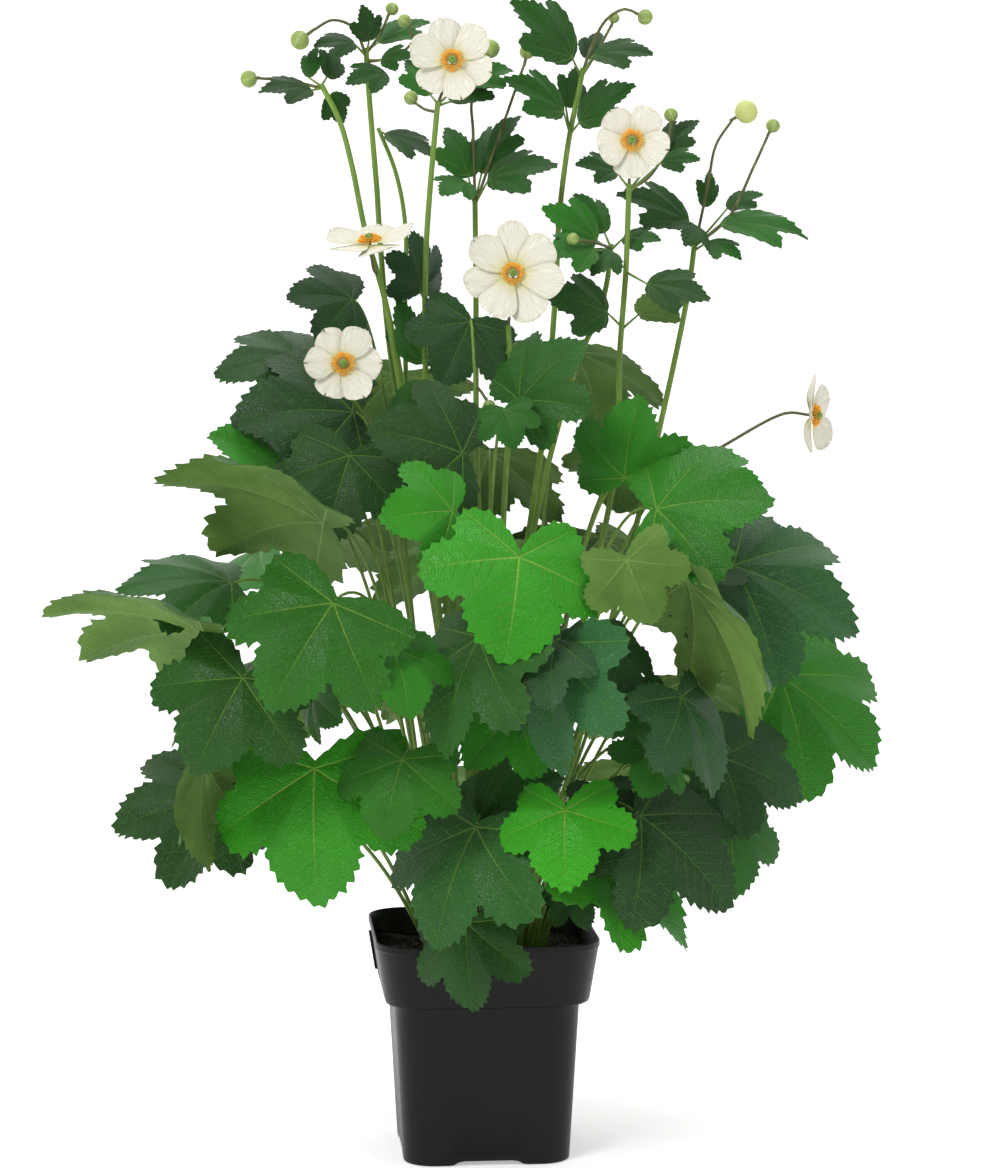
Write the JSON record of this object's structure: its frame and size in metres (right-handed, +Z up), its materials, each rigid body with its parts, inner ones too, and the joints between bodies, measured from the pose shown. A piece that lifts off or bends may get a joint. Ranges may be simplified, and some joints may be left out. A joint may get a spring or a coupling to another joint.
{
  "type": "potted japanese anemone",
  "caption": "Japanese anemone in a square black nursery pot: tufts of lobed leaves, tall thin stems with leafy whorls and round buds, and white flowers with orange stamens.",
  "frame": {"origin": "ground centre: under the middle of the whole plant, which is the middle of the pot's foot", "axes": "+Z up; -Y is the front seen in the picture; +X to its right"},
  "size_m": [0.6578, 0.5339, 0.9415],
  "materials": {
    "pot_plastic": "semi-gloss moulded",
    "soil": "rough crumbly potting compost",
    "leaf": "soft, thin, satin green leaf",
    "stem": "satin yellow-green stem",
    "petal": "thin white petal",
    "stamen": "powdery orange-yellow anthers"
  },
  "bodies": {
    "root": {"bloom_far_right_petals": "petal", "bloom_far_right_stamens": "stamen", "bloom_low_petals": "petal", "bloom_low_stamens": "stamen", "bloom_middle_petals": "petal", "bloom_middle_stamens": "stamen", "bloom_right_petals": "petal", "bloom_right_stamens": "stamen", "bloom_side_petals": "petal", "bloom_side_stamens": "stamen", "bloom_top_petals": "petal", "bloom_top_stamens": "stamen", "flower_stem_bushy": "stem", "flower_stem_inner": "stem", "flower_stem_left": "stem", "flower_stem_middle_bloom": "stem", "flower_stem_right": "stem", "flower_stem_right_bloom": "stem", "flower_stem_side_bloom": "stem", "flower_stem_tall": "stem", "flower_stem_top_bloom": "stem", "flower_stem_upright": "stem", "leaf_tuft_01": "leaf", "leaf_tuft_02": "leaf", "leaf_tuft_03": "leaf", "leaf_tuft_04": "leaf", "leaf_tuft_05": "leaf", "leaf_tuft_06": "leaf", "leaf_tuft_07": "leaf", "leaf_tuft_08": "leaf", "leaf_tuft_09": "leaf", "leaf_tuft_10": "leaf", "leaf_tuft_11": "leaf", "leaf_tuft_12": "leaf", "leaf_tuft_13": "leaf", "leaf_tuft_14": "leaf", "leaf_tuft_15": "leaf", "leaf_tuft_16": "leaf", "leaf_tuft_17": "leaf", "leaf_tuft_18": "leaf", "leaf_tuft_19": "leaf", "leaf_tuft_20": "leaf", "leaf_tuft_21": "leaf", "leaf_tuft_22": "leaf", "leaf_tuft_23": "leaf", "leaf_tuft_24": "leaf", "pot": "pot_plastic", "soil": "soil"}
  },
  "joints": []
}
